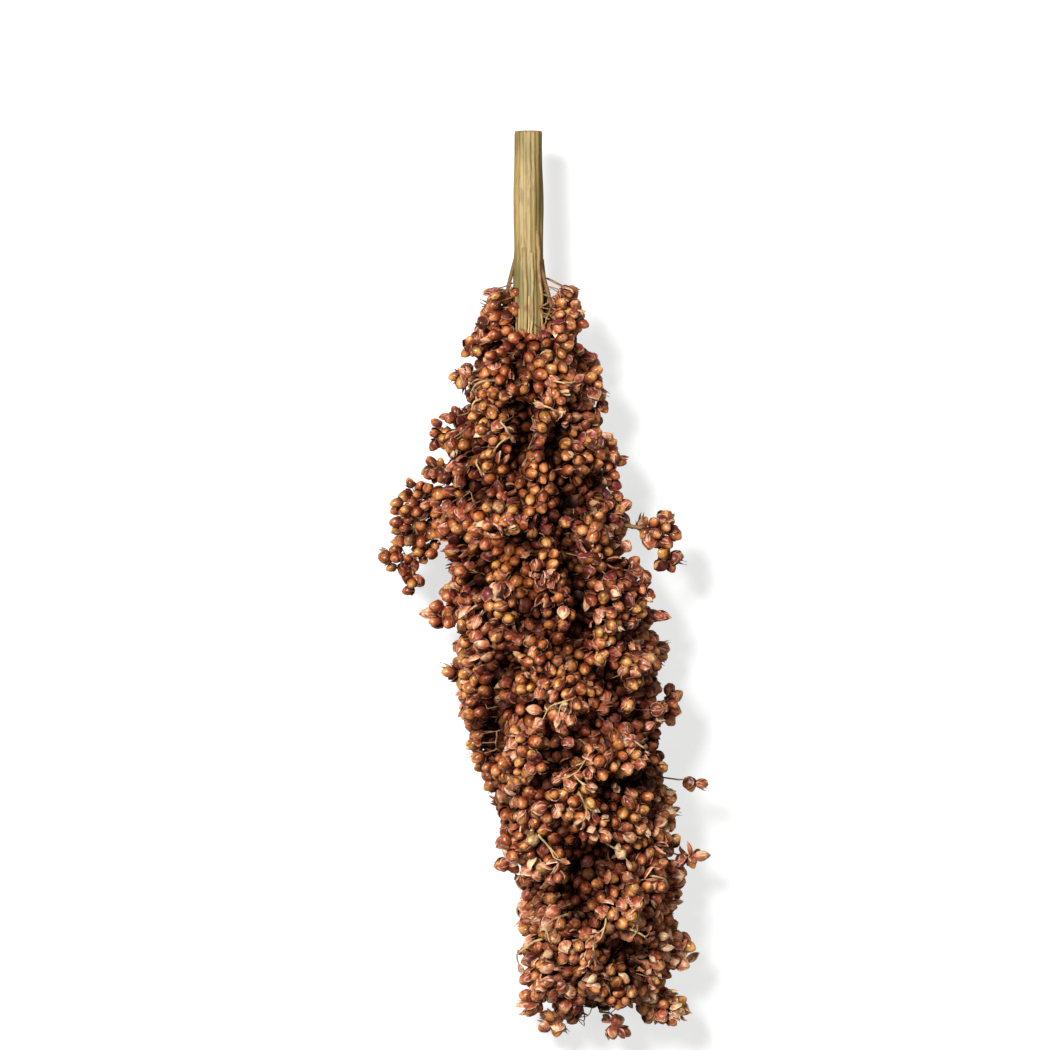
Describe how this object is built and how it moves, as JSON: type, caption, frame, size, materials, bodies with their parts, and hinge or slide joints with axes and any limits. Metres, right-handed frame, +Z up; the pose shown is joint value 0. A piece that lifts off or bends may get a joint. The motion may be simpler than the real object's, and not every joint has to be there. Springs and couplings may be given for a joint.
{
  "type": "sorghum seed head",
  "caption": "Dried sorghum seed head lying on its side: a stalk with whorls of short branches packed with round rusty grains in purple-brown husks, with loose sprays at the edges.",
  "frame": {"origin": "on the surface that the head lies on, under the middle of the whole head", "axes": "+Z up from the surface, +Y along the head towards the cut end of the stalk, +X to its side"},
  "size_m": [0.1106, 0.3022, 0.0577],
  "materials": {
    "stalk": "satin",
    "grain": "satin",
    "husk": "matte",
    "stem": "satin"
  },
  "bodies": {
    "root": {"stalk": "stalk", "whorl_1_branch_1": "grain", "whorl_1_branch_3": "grain", "whorl_1_branch_4": "grain", "whorl_1_branch_5": "grain", "whorl_2_branch_1": "grain", "whorl_2_branch_2": "grain", "whorl_2_branch_3": "grain", "whorl_2_branch_4": "grain", "whorl_2_branch_5": "grain", "whorl_3_branch_1": "grain", "whorl_3_branch_2": "grain", "whorl_3_branch_3": "grain", "whorl_3_branch_4": "grain", "whorl_3_branch_5": "grain", "whorl_3_branch_6": "grain", "whorl_4_branch_1": "grain", "whorl_4_branch_2": "grain", "whorl_4_branch_3": "grain", "whorl_4_branch_4": "grain", "whorl_4_branch_5": "grain", "whorl_4_branch_6": "grain", "whorl_5_branch_1": "grain", "whorl_5_branch_2": "grain", "whorl_5_branch_3": "grain", "whorl_5_branch_4": "grain", "whorl_5_branch_5": "grain", "whorl_5_branch_6": "grain", "whorl_6_branch_1": "husk", "whorl_6_branch_2": "husk", "whorl_6_branch_3": "husk", "whorl_6_branch_4": "husk", "whorl_6_branch_5": "husk", "whorl_6_branch_6": "husk", "whorl_7_branch_1": "husk", "whorl_7_branch_2": "husk", "whorl_7_branch_3": "husk", "whorl_7_branch_4": "husk", "whorl_7_branch_5": "husk", "whorl_7_branch_6": "husk", "whorl_8_branch_1": "husk", "whorl_8_branch_2": "husk", "whorl_8_branch_3": "husk", "whorl_8_branch_4": "husk", "whorl_8_branch_5": "husk", "whorl_9_branch_1": "husk", "whorl_9_branch_2": "husk", "whorl_9_branch_3": "husk", "whorl_9_branch_4": "husk", "whorl_9_branch_5": "husk", "whorl_10_branch_1": "husk", "whorl_10_branch_2": "husk", "whorl_10_branch_3": "husk"}
  },
  "joints": []
}
